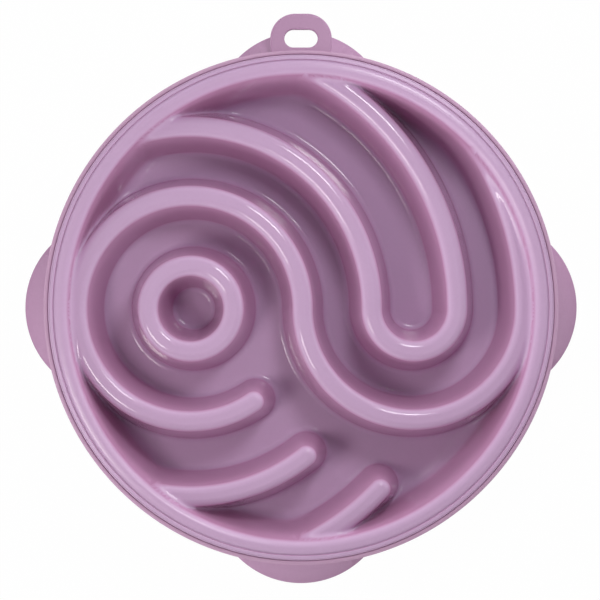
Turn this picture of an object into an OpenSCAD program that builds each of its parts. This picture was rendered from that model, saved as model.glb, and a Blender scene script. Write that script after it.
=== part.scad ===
// Slow feeder bowl for a pet: a maze bowl that lies loose in a base ring on four soft pads.
// The maze bowl is one moulding; its pan and its five ridges are drawn as nodes of their own.
// Units are millimetres, +Z is up and Z = 0 is the surface that the bowl stands on.
// +Y points to the hanging loop. Every module is drawn round the bowl's own axis, and
// in_frame() then moves it so that the origin lies under the middle of the whole outline.

/* [Overall] */
// Height of the bowl's rim above the surface that it stands on
rim_z = 52; // [49:0.5:58]
// Outer radius of the base ring's top band, which is the round outline seen from above
band_r = 139.3; // [138:0.1:146]

/* [Bowl pan] */
// Width of the flat land on top of the rim, with its rounded outer edge
land_w = 3.7; // [2.4:0.1:4.5]
// Rounding of the land's outer edge
land_round = 1.2; // [0.6:0.1:1.5]
// Height of the land above the shoulder beside it
land_step = 0.5; // [0.2:0.1:0.8]
// Width of the shoulder, from the land's inner edge to the top of the pan's wall
shoulder_w = 7; // [6.5:0.1:9]
// Radius that turns the shoulder down into the wall
shoulder_round = 4.5; // [4:0.1:5.5]
// Fall of the shoulder towards the land, in degrees from level
shoulder_fall = 6; // [2:1:10]
// Lean of the pan's wall, in degrees from upright
wall_draft = 10.5; // [6:0.5:14]
// Thickness of the pan's floor, wall and rim
pan_skin = 2.4; // [1.8:0.1:3]
// Height of the channel floor above the surface that the bowl stands on
floor_z = 10; // [8:0.5:14]
// Radius in the corner between the floor and the wall
floor_round = 6; // [3:0.5:9]
// Height of the lip that hangs down from the rim's outer edge
lip_h = 7; // [6:0.5:9]

/* [Ridges] */
// Depth of the ridge tops below the rim
ridge_drop = 7; // [6.5:0.5:12]
// Width of a ridge where its rounded crown meets its sides
ridge_w = 12.4; // [11:0.2:15]
// Radius of each edge of the crown
crown_round = 4.5; // [3.5:0.1:5.2]
// Lean of a ridge's sides, in degrees from upright
ridge_draft = 11; // [7:0.5:12]
// Thickness of the skin of the ridges, which are hollow underneath
ridge_skin = 2.2; // [1.6:0.1:2.8]
// Distance of the middle of the S ridge to the right of the bowl's axis
maze_right = 0.5; // [0:0.1:2]
// Distance of the middle of the S ridge in front of the bowl's axis
maze_front = 0.6; // [0:0.1:2]
// Radius of the middle line of the S ridge's left lobe, whose centre all the left ridges share
lobe_r = 61.3; // [59:0.1:63]
// Angle round the left lobe at which the S ridge ends
lobe_tip_angle = 304.4; // [296:0.1:308]
// Radius of the S ridge's right lobe
right_lobe_r = 60.3; // [58:0.1:61.5]
// Radius of the long run that ends the S ridge at the right
run_r = 163; // [150:1:180]
// Radius of the ring ridge inside the left lobe
ring_r = 23.4; // [20:0.2:24]
// Radius of the hook ridge's inner leg
hook_inner_r = 99.2; // [97:0.1:101]
// Radius of the hook ridge's turn
hook_turn_r = 23.3; // [22:0.1:25]
// Radius of the left spur
left_spur_r = 101.4; // [98:0.1:104]
// Angle at which the left spur ends
left_spur_tip_angle = 308.3; // [300:0.1:311]
// Radius of the front spur
front_spur_r = 143.2; // [140:0.1:146]
// Angle at which the front spur ends
front_spur_tip_angle = 316.5; // [308:0.1:318]

/* [Base ring] */
// Width of the band's top edge
band_w = 2.3; // [2:0.1:3.5]
// Height of the band
band_h = 7; // [6.5:0.5:10]
// Depth of the band's top edge below the bowl's rim
band_drop = 1; // [0.5:0.1:2]
// Rounding of the band's top edge
band_round = 0.9; // [0.4:0.1:1]
// Depth of the step under the band
band_step = 1.2; // [0.6:0.1:2]
// Thickness of the skirt, the foot and the ears' root
ring_skin = 2.4; // [2:0.1:3]
// Lean of the skirt, in degrees from upright
skirt_draft = 6.5; // [3:0.5:9]
// Width of the ledge that carries the bowl's lip, measured inwards from the band
ledge_w = 3.4; // [2.8:0.1:4.5]
// Thickness of the ledge at its inner edge
ledge_t = 1.6; // [1.2:0.1:2.4]
// Width of the foot, from the skirt's outer face inwards
foot_w = 24; // [22:0.5:30]
// Thickness of the foot
foot_t = 2.8; // [2.4:0.1:3.6]
// Radius of the foot's outer corner
foot_round = 2; // [1:0.1:2.5]

/* [Ears and loop] */
// Reach of each ear from the bowl's axis
ear_reach = 151; // [148:0.5:156]
// Radius of an ear's outline
ear_r = 49.5; // [44:0.5:54]
// Height of the ears' lower edge above the surface that the bowl stands on
ear_edge_z = 36.3; // [33:0.1:40]
// Slope of an ear, in degrees from level
ear_slope = 45; // [40:1:50]
// Thickness of an ear
ear_t = 3; // [2.4:0.1:3.4]
// Width of the loop
loop_w = 33; // [30:0.5:38]
// Radius of the loop's outer corners
loop_round = 12.5; // [10:0.5:15]
// Thickness of the loop
loop_t = 4.6; // [4:0.1:6]
// Depth of the loop's top face below the band's top edge
loop_drop = 0.8; // [0.4:0.1:1.5]
// Distance from the band to the slot in the loop
slot_gap = 0.8; // [0.6:0.1:3]
// Length of the slot in the loop
slot_l = 18.6; // [16:0.2:20]
// Width of the slot in the loop
slot_w = 9.9; // [8:0.1:11]
// Width of the loop's material outside the slot
slot_wall = 8.5; // [7.5:0.1:10]

/* [Pads] */
// Radius of each pad
pad_r = 8; // [6:0.1:9]
// Height by which the pads lift the foot off the surface
pad_lift = 1.2; // [0.8:0.1:2]
// Depth of the pad's pocket in the foot
pad_seat = 1.4; // [1:0.1:1.6]
// Rounding of a pad's lower edge
pad_round = 0.6; // [0.3:0.1:0.7]
// Direction of the first pad, halfway between two ears
pad_angle = 45; // [40:1:50]

/* [Clearances] */
// Gap all round between the bowl's rim and the band
rim_gap = 0.3; // [0.2:0.05:0.6]
// Gap all round between a pad and its pocket
pad_gap = 0.15; // [0.1:0.05:0.3]

/* [Hidden] */
$fn = 120;

// Facets in each rounded corner of an outline
corner_steps = 5;
// Overrun that carries every cut clear through what it cuts
overrun = 3;
// Number of ridges in the pan
ridge_count = 5;
// Growth of a ridge's round tip all round, which lets the ridge's own end lie inside it
tip_swell = 0.1;
// Grid for the points of a ridge's section, so that runs of one ridge meet exactly
section_grid = 0.001;
// Number of ears
ear_count = 4;
// Number of pads
pad_count = 4;

// Heights
band_top_z = rim_z - band_drop;
band_bottom_z = band_top_z - band_h;
ledge_z = rim_z - lip_h;
ridge_top_z = rim_z - ridge_drop;
foot_z = pad_lift;

// Radii of the rim and the pan
band_in_r = band_r - band_w;
rim_r = band_in_r - rim_gap;
land_r = rim_r - land_w;
wall_top_r = land_r - shoulder_w;

// Centre of the round that turns the shoulder into the wall
turn_r = wall_top_r + shoulder_round * cos(wall_draft);
shoulder_run = land_r - turn_r - shoulder_round * sin(shoulder_fall);
turn_z = rim_z - land_step + shoulder_run * tan(shoulder_fall) - shoulder_round * cos(shoulder_fall);
wall_top_z = turn_z + shoulder_round * sin(wall_draft);

// Centre of the round between the floor and the wall
corner_z = floor_z + floor_round;
corner_r = wall_top_r - floor_round / cos(wall_draft) - (wall_top_z - corner_z) * tan(wall_draft);

// Centres of the ridges' arcs, all on one line along X
lobe_x = maze_right - lobe_r;
right_lobe_x = maze_right + right_lobe_r;
run_x = right_lobe_x + right_lobe_r - run_r;
hook_turn_x = lobe_x + hook_inner_r + hook_turn_r;
hook_outer_r = hook_inner_r + 2 * hook_turn_r;

// Distance from the bowl's axis at which the ridges end inside the pan's wall
wall_reach = wall_top_r + ridge_w / 2;

// Radius of the skirt's outer face under the band and at the foot
skirt_top_r = band_r - band_step;
skirt_foot_r = skirt_top_r - (band_bottom_z - foot_z) * tan(skirt_draft);
foot_in_r = skirt_foot_r - foot_w;
foot_top_z = foot_z + foot_t;
ledge_in_r = band_in_r - ledge_w;

// The ears, each a cone round an upright axis of its own
ear_x = ear_reach - ear_r;
ear_top_r = band_r - band_w - ear_x;
ear_rise = (ear_r - ear_top_r) * tan(ear_slope);
loop_top_z = band_top_z - loop_drop;
slot_y = band_r + slot_gap + slot_w / 2;
loop_reach = slot_y + slot_w / 2 + slot_wall;
slot_half = (slot_l - slot_w) / 2;

// Pads, on a circle in the middle of the foot
pad_ring_r = (skirt_foot_r - foot_round + foot_in_r) / 2;
pad_h = pad_lift + pad_seat;

// The outline reaches further behind the bowl's axis than in front of it
axis_y = (ear_reach - loop_reach) / 2;

bowl_colour = [0.76, 0.64, 0.76];
base_colour = [0.68, 0.55, 0.67];
pad_colour = [0.30, 0.27, 0.31];

// Points of an arc round a centre, from one angle to another
function arc(centre, r, from, to) = [
    for (i = [0:corner_steps])
        let (a = from + (to - from) * i / corner_steps)
            centre + r * [cos(a), sin(a)]
];

// Radius of the pan's wall at a height, for the inner face grown outwards by g
function wall_r(z, g) = corner_r + (floor_round + g) / cos(wall_draft) + (z - corner_z) * tan(wall_draft);

// A point moved to the nearest place on the section grid
function on_grid(point) = [for (v = point) round(v / section_grid) * section_grid];

// Half of a ridge's section, from its middle line outwards, shrunk by inset, down to height z
function ridge_half(inset, z) = let (
    corner = [ridge_w / 2 - crown_round * cos(ridge_draft), ridge_top_z - crown_round],
    r = crown_round - inset,
    side = corner.x + r / cos(ridge_draft) + (corner.y - z) * tan(ridge_draft)
) [
    for (point = concat([[0, z], [0, corner.y + r]], arc(corner, r, 90, ridge_draft), [[side, z]]))
        on_grid(point)
];

// Angle of the point where a circle round the centre x of the maze's line has reached the wall,
// behind that line for side 1 and in front of it for side -1
function wall_angle(x, r, side) = let (
    d = norm([x, maze_front]),
    turned = acos((d * d + r * r - wall_reach * wall_reach) / (2 * d * r))
) atan2(maze_front, -x) + side * turned;

// Outer radius of the skirt at a height
function skirt_r(z) = skirt_top_r - (band_bottom_z - z) * tan(skirt_draft);

// Moves a piece from the bowl's axis to the frame's origin
module in_frame() {
    translate([0, axis_y, 0])
        children();
}

// The whole section of a ridge, standing on the X axis at a radius
module ridge_section(r, inset, z) {
    half = ridge_half(inset, z);
    last = len(half) - 1;
    points = concat(
        [for (i = [1:last]) [r + half[i].x, half[i].y]],
        [for (i = [last:-1:2]) [r - half[i].x, half[i].y]]
    );
    polygon(points);
}

// A run of ridge round the Z axis
module ridge_run(r, from, to, inset, z) {
    rotate_extrude(start = from, angle = to - from)
        ridge_section(r, inset, z);
}

// A run of ridge that ends in a round tip
module ridge_with_tip(r, from, at, inset, z) {
    ridge_run(r, from, at, inset, z);
    translate([r * cos(at), r * sin(at), 0])
        rotate_extrude()
            polygon(ridge_half(inset - tip_swell, z));
}

// Moves an arc's centre from the bowl's axis to its place on the maze's line
module at_centre(x) {
    translate([x, -maze_front, 0])
        children();
}

// The S ridge: the left lobe, the right lobe and the long run up the right side
module s_ridge(inset, z) {
    at_centre(lobe_x)
        ridge_with_tip(lobe_r, 0, lobe_tip_angle, inset, z);
    at_centre(right_lobe_x)
        ridge_run(right_lobe_r, 180, 360, inset, z);
    at_centre(run_x)
        ridge_run(run_r, 0, wall_angle(run_x, run_r, 1), inset, z);
}

// The ring ridge inside the left lobe
module ring_ridge(inset, z) {
    at_centre(lobe_x)
        rotate_extrude()
            ridge_section(ring_r, inset, z);
}

// The hook ridge: two legs from the back wall, joined by a half turn
module hook_ridge(inset, z) {
    at_centre(lobe_x) {
        ridge_run(hook_inner_r, 0, wall_angle(lobe_x, hook_inner_r, 1), inset, z);
        ridge_run(hook_outer_r, 0, wall_angle(lobe_x, hook_outer_r, 1), inset, z);
    }
    at_centre(hook_turn_x)
        ridge_run(hook_turn_r, 180, 360, inset, z);
}

// A spur from the front wall to a round tip
module spur(r, tip_angle, inset, z) {
    at_centre(lobe_x)
        ridge_with_tip(r, 360 + wall_angle(lobe_x, r, -1), tip_angle, inset, z);
}

// One of the ridges by number, shrunk by inset, down to height z
module ridge(k, inset, z) {
    if (k == 0) s_ridge(inset, z);
    if (k == 1) ring_ridge(inset, z);
    if (k == 2) hook_ridge(inset, z);
    if (k == 3) spur(left_spur_r, left_spur_tip_angle, inset, z);
    if (k == 4) spur(front_spur_r, front_spur_tip_angle, inset, z);
}

// The free space inside the pan, down to its floor
module pan_inside() {
    rotate_extrude()
        polygon(concat(
            [[0, floor_z]],
            arc([corner_r, corner_z], floor_round, -90, -wall_draft),
            [[wall_r(wall_top_z, 0), wall_top_z], [0, wall_top_z]]
        ));
}

// The pan with its rim, with a whole floor
module closed_pan() {
    turn = [turn_r, turn_z];
    edge = [rim_r - land_round, rim_z - land_round];
    rotate_extrude()
        polygon(concat(
            [[0, floor_z]],
            arc([corner_r, corner_z], floor_round, -90, -wall_draft),
            arc(turn, shoulder_round, 180 - wall_draft, 90 - shoulder_fall),
            [[land_r, rim_z - land_step], [land_r + land_step, rim_z]],
            arc(edge, land_round, 90, 0),
            [[rim_r, ledge_z], [rim_r - pan_skin, ledge_z]],
            [[rim_r - pan_skin, rim_z - land_step - pan_skin]],
            [[turn_r, turn_z + shoulder_round - pan_skin], [wall_r(turn_z, pan_skin), turn_z]],
            arc([corner_r, corner_z], floor_round + pan_skin, -wall_draft, -90),
            [[0, floor_z - pan_skin]]
        ));
}

// A round block inside the ring ridge, up to the ring's middle line
module ring_core_block(z, height) {
    at_centre(lobe_x)
        translate([0, 0, z])
            cylinder(r = ring_r, h = height);
}

// The pan of the maze bowl, with its floor open under the ridges and inside the ring
module bowl_pan() {
    low = floor_z - pan_skin - overrun;
    color(bowl_colour)
        in_frame()
            difference() {
                closed_pan();
                for (k = [0:ridge_count - 1])
                    intersection() {
                        ridge(k, ridge_skin, low);
                        translate([0, 0, low - overrun])
                            cylinder(r = corner_r - pan_skin / 2, h = pan_skin + 3 * overrun);
                    }
                ring_core_block(low, pan_skin + 2 * overrun);
            }
}

// One ridge of the maze bowl by number, which stands on the pan's floor and ends at its wall
module bowl_ridge(k) {
    low = floor_z - overrun;
    color(bowl_colour)
        in_frame()
            intersection() {
                difference() {
                    ridge(k, 0, low);
                    ridge(k, ridge_skin, low - overrun);
                }
                pan_inside();
            }
}

// The ring ridge of the maze bowl, with the round of floor inside it
module bowl_ring_ridge() {
    low = floor_z - pan_skin;
    color(bowl_colour)
        in_frame()
            difference() {
                union() {
                    ring_ridge(0, floor_z);
                    ring_core_block(low, pan_skin);
                }
                ring_ridge(ridge_skin, low - overrun);
            }
}

// The base ring's round body: band, ledge, skirt and foot
module ring_body() {
    foot_corner = [skirt_foot_r - foot_round, foot_z + foot_round];
    band_corner = [band_r - band_round, band_top_z - band_round];
    band_in_corner = [band_in_r + band_round, band_top_z - band_round];
    wall_in_z = ledge_z - ledge_t - (skirt_top_r - ring_skin - ledge_in_r);
    rotate_extrude()
        polygon(concat(
            [[foot_in_r, foot_z]],
            arc(foot_corner, foot_round, -90, 0),
            [[skirt_top_r, band_bottom_z - band_step], [band_r, band_bottom_z]],
            arc(band_corner, band_round, 0, 90),
            arc(band_in_corner, band_round, 90, 180),
            [[band_in_r, ledge_z], [ledge_in_r, ledge_z], [ledge_in_r, ledge_z - ledge_t]],
            [[skirt_r(wall_in_z) - ring_skin, wall_in_z]],
            [[skirt_r(foot_top_z) - ring_skin, foot_top_z], [foot_in_r, foot_top_z]]
        ));
}

// The middle of the base ring's wall and all that lies inside it, which the ears leave free
module ring_core() {
    translate([0, 0, foot_z])
        cylinder(
            r1 = skirt_foot_r - ring_skin / 2, r2 = skirt_top_r - ring_skin / 2,
            h = band_bottom_z - foot_z
        );
    translate([0, 0, band_bottom_z])
        cylinder(r = band_r - band_w / 2, h = band_h + overrun);
}

// One ear, on +X: a thin cone that leans out from under the band
module ear() {
    slant = ear_t / sin(ear_slope);
    translate([ear_x, 0, ear_edge_z])
        difference() {
            cylinder(r1 = ear_r, r2 = ear_top_r, h = ear_rise);
            translate([0, 0, -overrun])
                cylinder(
                    r1 = ear_r - slant + overrun / tan(ear_slope),
                    r2 = ear_top_r - slant,
                    h = ear_rise + overrun
                );
        }
}

// Outline of the loop, a tab with rounded outer corners
module loop_outline() {
    half = loop_w / 2;
    corner = half - loop_round;
    far = loop_reach - loop_round;
    polygon(concat(
        [[-half, ear_x], [half, ear_x]],
        arc([corner, far], loop_round, 0, 90),
        arc([-corner, far], loop_round, 90, 180)
    ));
}

// The slot in the loop, which runs on down through the ear behind it
module slot_cut() {
    translate([0, slot_y, ear_edge_z - overrun])
        linear_extrude(height = loop_top_z - ear_edge_z + 2 * overrun) {
            square([2 * slot_half, slot_w], center = true);
            for (side = [-1, 1])
                translate([side * slot_half, 0])
                    circle(d = slot_w);
        }
}

// The base ring, one moulding with its four ears and the hanging loop
module base_ring() {
    color(base_colour)
        in_frame()
            difference() {
                union() {
                    ring_body();
                    difference() {
                        union() {
                            for (k = [0:ear_count - 1])
                                rotate([0, 0, 360 / ear_count * k])
                                    ear();
                            translate([0, 0, loop_top_z - loop_t])
                                linear_extrude(height = loop_t)
                                    loop_outline();
                        }
                        ring_core();
                    }
                }
                slot_cut();
                for (k = [0:pad_count - 1])
                    pad_place(k)
                        cylinder(r = pad_r + pad_gap, h = pad_h);
            }
}

// Puts a child at one pad's place
module pad_place(k) {
    rotate([0, 0, pad_angle + 360 / pad_count * k])
        translate([pad_ring_r, 0, 0])
            children();
}

// One pad: a soft disc pressed into its pocket in the foot
module non_slip_pad(k) {
    color(pad_colour)
        in_frame()
            pad_place(k)
                rotate_extrude()
                    polygon(concat(
                        [[0, 0]],
                        arc([pad_r - pad_round, pad_round], pad_round, -90, 0),
                        [[pad_r, pad_h], [0, pad_h]]
                    ));
}

bowl_pan();
bowl_ridge(0);  // bowl_s_ridge
bowl_ring_ridge();
bowl_ridge(2);  // bowl_hook_ridge
bowl_ridge(3);  // bowl_left_spur
bowl_ridge(4);  // bowl_front_spur
base_ring();
non_slip_pad(0);  // non_slip_pad_1
non_slip_pad(1);  // non_slip_pad_2
non_slip_pad(2);  // non_slip_pad_3
non_slip_pad(3);  // non_slip_pad_4
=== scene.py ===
"""Slow feeder bowl: a glossy maze bowl that lies loose in a satin base ring on four soft pads.

Sizes in the classes are millimetres, measured from the bowl's own upright axis. A shell is moved
to the frame's origin and put into metres when its mesh is made.
"""

import logging
import math
from dataclasses import dataclass, field
from enum import Enum
from typing import Callable, Sequence, Union

import bpy
import numpy as np
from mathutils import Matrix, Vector
from mathutils.geometry import delaunay_2d_cdt


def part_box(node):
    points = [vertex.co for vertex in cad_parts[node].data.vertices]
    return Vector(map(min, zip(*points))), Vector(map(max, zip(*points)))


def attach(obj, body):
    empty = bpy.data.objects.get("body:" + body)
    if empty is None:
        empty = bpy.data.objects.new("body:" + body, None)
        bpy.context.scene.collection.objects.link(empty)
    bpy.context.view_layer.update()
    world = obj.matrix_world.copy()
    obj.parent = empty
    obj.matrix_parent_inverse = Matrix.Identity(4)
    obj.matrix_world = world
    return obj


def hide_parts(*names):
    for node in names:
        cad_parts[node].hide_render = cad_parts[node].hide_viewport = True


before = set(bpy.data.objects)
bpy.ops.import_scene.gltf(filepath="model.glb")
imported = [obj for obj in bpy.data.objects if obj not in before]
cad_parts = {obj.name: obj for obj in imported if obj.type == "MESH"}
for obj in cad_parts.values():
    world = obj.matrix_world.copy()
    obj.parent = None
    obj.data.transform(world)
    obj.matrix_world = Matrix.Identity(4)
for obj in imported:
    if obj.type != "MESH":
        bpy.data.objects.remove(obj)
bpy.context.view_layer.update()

Array = np.ndarray
Colour = tuple[int, int, int]
Feed = Union[bpy.types.NodeSocket, float, Sequence[float]]
LOG = logging.getLogger("slow_feeder_bowl")
MM = 0.001
WELD_MM = 1e-4
FULL_TURN = 2.0 * math.pi
QUARTER_TURN = math.pi / 2.0
WHITE = (1.0, 1.0, 1.0, 1.0)
# A step this many times the usual one, from a section to the next, is an edge between two faces.
JUMP = 4.0
# How often an interval is halved to find where a signed distance turns positive.
HALVINGS = 28
# How much nearer its own ridge a row's point has to be than another one, in millimetres.
VALLEY_MM = 0.3
# Height in metres over which a finish, with its painted highlight, changes towards the top of a piece.
FADE_M = 0.0015
# Between these upward parts of a face's normal the painted shade and bounce light of a steep face fade out.
PAINTED_SHADE_STEEP_TO_FLAT = (0.2, 0.72)


def compass(count: int) -> Array:
    """Level unit vectors at even angles all the way round, shaped (count, 2)."""
    turn = FULL_TURN * np.arange(count) / count
    return np.stack([np.cos(turn), np.sin(turn)], axis=-1)


def unit(vectors: Array) -> Array:
    """Each vector of the last axis, divided by its length; a zero vector stays zero."""
    length = np.linalg.norm(vectors, axis=-1, keepdims=True)
    return vectors / np.maximum(length, 1e-12)


def round_union(first: Array, second: Array, radius: float) -> Array:
    """Joins two solids, given as signed distances, with a concave fillet.

    The value is the lesser distance where the point is further than the radius from either solid,
    and otherwise the distance to a circle of that radius that touches both.

    Args:
        first: Signed distances to the first solid, below zero inside it.
        second: Signed distances to the second solid.
        radius: Radius of the fillet.

    Returns:
        Signed distances to the joined solid.
    """
    near = np.hypot(np.maximum(radius - first, 0.0), np.maximum(radius - second, 0.0))
    return np.maximum(radius, np.minimum(first, second)) - near


def wedge(across: Array, up: Array, side_normal: Sequence[float], top_normal: Sequence[float]) -> Array:
    """Signed distance to a wedge with its corner at the origin, in a plane.

    The distance is that to the corner itself between the two faces' normals, and the greater of
    the distances to the two faces everywhere else.

    Args:
        across: Distances across from the corner.
        up: Heights above the corner.
        side_normal: Unit normal of the steep face, out of the solid.
        top_normal: Unit normal of the top face, out of the solid.

    Returns:
        Signed distances, below zero inside the wedge.
    """
    side = across * side_normal[0] + up * side_normal[1]
    top = across * top_normal[0] + up * top_normal[1]
    turn = side_normal[0] * top_normal[1] - side_normal[1] * top_normal[0]
    past_side = (across * side_normal[1] - up * side_normal[0]) * math.copysign(1.0, turn)
    past_top = (up * top_normal[0] - across * top_normal[1]) * math.copysign(1.0, turn)
    at_corner = (past_side < 0.0) & (past_top < 0.0)
    return np.where(at_corner, np.hypot(across, up), np.maximum(side, top))


@dataclass
class Shell:
    """A closed surface: points, a normal at each of them, and triangles."""

    points: Array
    normals: Array
    triangles: Array

    def joined(self, other: "Shell") -> "Shell":
        """This shell and another one as one shell.

        Args:
            other: The other shell, whose points come after this one's.

        Returns:
            The shell of both.
        """
        return Shell(
            np.concatenate([self.points, other.points]),
            np.concatenate([self.normals, other.normals]),
            np.concatenate([self.triangles, other.triangles + len(self.points)]),
        )

    def welded(self) -> "Shell":
        """The shell with points that coincide made one, and collapsed triangles taken out.

        Returns:
            The shell, where a point made of several has the mean of their normals.
        """
        key = np.round(self.points / WELD_MM).astype(np.int64)
        _, first, inverse = np.unique(key, axis=0, return_index=True, return_inverse=True)
        inverse = inverse.reshape(-1)
        normals = np.zeros((len(first), 3))
        np.add.at(normals, inverse, self.normals)
        corners = inverse[self.triangles]
        a, b, c = corners.T
        whole = (a != b) & (b != c) & (c != a)
        return Shell(self.points[first], unit(normals), corners[whole])

    def outward(self) -> "Shell":
        """The shell with its triangles and normals turned to point out of it.

        The sum of the triangles' signed volumes about the origin tells which way they point, and
        each normal is turned to the side of the triangles round it.

        Returns:
            The same surface, facing outwards.
        """
        a, b, c = (self.points[self.triangles[:, k]] for k in range(3))
        area = np.cross(b - a, c - a)
        triangles = self.triangles
        if np.einsum("ij,ij->", a, area) < 0.0:
            triangles = triangles[:, ::-1]
            area = -area
        guide = np.zeros_like(self.points)
        for k in range(3):
            np.add.at(guide, triangles[:, k], area)
        side = np.sign(np.einsum("ij,ij->i", guide, self.normals))
        guide = unit(guide)
        normals = np.where(side[:, None] == 0.0, guide, self.normals * side[:, None])
        return Shell(self.points, unit(normals), triangles)


def grid_triangles(rows: int, columns: int, closed_rows: bool, closed_columns: bool) -> Array:
    """Triangles of a grid of points that is numbered row by row.

    Args:
        rows: Number of rows.
        columns: Number of points in a row.
        closed_rows: Whether the last row joins the first one.
        closed_columns: Whether the last point of a row joins its first one.

    Returns:
        Corner numbers, three for each triangle.
    """
    row = np.arange(rows if closed_rows else rows - 1)[:, None]
    column = np.arange(columns if closed_columns else columns - 1)[None, :]
    below, beside = (row + 1) % rows, (column + 1) % columns
    a, b = row * columns + column, row * columns + beside
    c, d = below * columns + beside, below * columns + column
    quads = np.stack([a, b, c, d], axis=-1).reshape(-1, 4)
    return np.concatenate([quads[:, [0, 1, 2]], quads[:, [0, 2, 3]]])


def turned_shell(profile: Array, tangents: Array, count: int, centre: Sequence[float] = (0.0, 0.0)) -> Shell:
    """An open surface: a profile carried round an upright axis.

    A point is the axis, plus the profile's radius along a level direction, at the profile's
    height. The normal is the profile's tangent turned by a quarter, to the left of its way.

    Args:
        profile: Points (radius, height) in order.
        tangents: The profile's directions at those points.
        count: Number of places round the axis.
        centre: Where the axis stands in plan.

    Returns:
        The surface, with the profile's points as rows.
    """
    ring = compass(count)[None]
    radius, height = profile.T[:, :, None, None]
    outward, upward = tangents.T[:, :, None, None]
    points = np.concatenate([radius * ring + np.array(centre), np.repeat(height, count, axis=1)], axis=-1)
    normals = np.concatenate([-upward * ring, np.repeat(outward, count, axis=1)], axis=-1)
    triangles = grid_triangles(len(profile), count, False, True)
    return Shell(points.reshape(-1, 3), unit(normals.reshape(-1, 3)), triangles)


def rounded_polygon(corners: Array, radii: Array, steps: int) -> tuple[Array, Array]:
    """Closed outlines with every corner rounded.

    Each corner becomes a rational quadratic curve from one touching point to the other, which is
    a true arc. The touching points lie radius times the tangent of half the turn from the corner,
    or just short of halfway along the shorter side where that is less.

    Args:
        corners: Corner points, shaped (outlines, corners, 2).
        radii: Radius at each corner, shaped (corners,).
        steps: Pieces that each rounded corner is divided into.

    Returns:
        The outlines' points and unit tangents, each shaped (outlines, corners * (steps + 1), 2).
    """
    before = corners - np.roll(corners, 1, axis=1)
    after = np.roll(corners, -1, axis=1) - corners
    long_in = np.linalg.norm(before, axis=-1, keepdims=True)
    long_out = np.linalg.norm(after, axis=-1, keepdims=True)
    way_in, way_out = unit(before), unit(after)
    way_in = np.where(long_in < WELD_MM, way_out, way_in)
    way_out = np.where(long_out < WELD_MM, way_in, way_out)
    cosine = np.clip(np.sum(way_in * way_out, axis=-1, keepdims=True), -0.999, 1.0)
    half = np.arccos(cosine) / 2.0
    reach = np.minimum(radii[None, :, None] * np.tan(half), 0.49 * np.minimum(long_in, long_out))
    start, end = corners - way_in * reach, corners + way_out * reach
    t = np.linspace(0.0, 1.0, steps + 1)[None, None, :, None]
    weight = np.cos(half)[:, :, None, :]
    start, middle, end = (p[:, :, None, :] for p in (start, corners, end))
    top = (1 - t) ** 2 * start + 2 * t * (1 - t) * weight * middle + t**2 * end
    bottom = (1 - t) ** 2 + 2 * t * (1 - t) * weight + t**2
    top_rate = -2 * (1 - t) * start + 2 * (1 - 2 * t) * weight * middle + 2 * t * end
    bottom_rate = -2 * (1 - t) + 2 * (1 - 2 * t) * weight + 2 * t
    tangent = top_rate * bottom - top * bottom_rate
    straight = (1 - t) * way_in[:, :, None, :] + t * way_out[:, :, None, :]
    tangent = np.where(reach[:, :, None, :] < WELD_MM, straight, tangent)
    outlines, count = corners.shape[0], corners.shape[1] * (steps + 1)
    points = (top / bottom).reshape(outlines, count, 2)
    return points, unit(tangent).reshape(outlines, count, 2)


def swept_shell(sections: Array, tangents: Array, origins: Array, ways: Array) -> Shell:
    """A ring-shaped surface: closed sections that stand along a closed path.

    A section's first coordinate is measured along its own level direction and its second one
    straight up. The normal is the cross product of the section's tangent and of the step from
    each section's neighbours to one another, or of the way round where that step is a jump.

    Args:
        sections: Section points, shaped (sections, points, 2).
        tangents: Unit tangents of the sections, of the same shape.
        origins: Point that each section is measured from, shaped (sections, 3).
        ways: Level unit direction of each section, shaped (sections, 3).

    Returns:
        The closed shell.
    """
    up = np.array([0.0, 0.0, 1.0])
    points = origins[:, None] + sections[..., :1] * ways[:, None] + sections[..., 1:] * up
    along = np.roll(points, -1, axis=0) - np.roll(points, 1, axis=0)
    round_way = unit(np.roll(ways, -1, axis=0) - np.roll(ways, 1, axis=0))[:, None]
    step = np.linalg.norm(along, axis=-1)
    jump = step > JUMP * np.median(step)
    along = np.where(jump[..., None], np.broadcast_to(round_way, along.shape), along)
    section_way = tangents[..., :1] * ways[:, None] + tangents[..., 1:] * up
    normals = unit(np.cross(section_way, along))
    rows, columns = points.shape[:2]
    triangles = grid_triangles(rows, columns, True, True)
    return Shell(points.reshape(-1, 3), normals.reshape(-1, 3), triangles).welded().outward()


def to_object(shell: Shell, name: str, axis: Vector) -> bpy.types.Object:
    """Makes a shell into a mesh object at the origin, in metres.

    Args:
        shell: The shell in millimetres, measured from the bowl's axis.
        name: The object's name.
        axis: Where the bowl's axis stands in the frame, in metres.

    Returns:
        The object, linked into the scene, with the shell's own normals.
    """
    points = shell.points * MM + np.array([axis.x, axis.y, 0.0])
    count = len(shell.triangles)
    mesh = bpy.data.meshes.new(name)
    mesh.vertices.add(len(points))
    mesh.vertices.foreach_set("co", points.astype(np.float32).ravel())
    mesh.loops.add(3 * count)
    mesh.loops.foreach_set("vertex_index", shell.triangles.astype(np.int32).ravel())
    mesh.polygons.add(count)
    mesh.polygons.foreach_set("loop_start", np.arange(0, 3 * count, 3, dtype=np.int32))
    mesh.update(calc_edges=True)
    mesh.validate()
    mesh.shade_smooth()
    mesh.normals_split_custom_set_from_vertices(shell.normals.astype(np.float32))
    made = bpy.data.objects.new(name, mesh)
    bpy.context.scene.collection.objects.link(made)
    LOG.info("%s: %d points, %d triangles", name, len(mesh.vertices), len(mesh.polygons))
    return made


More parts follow.
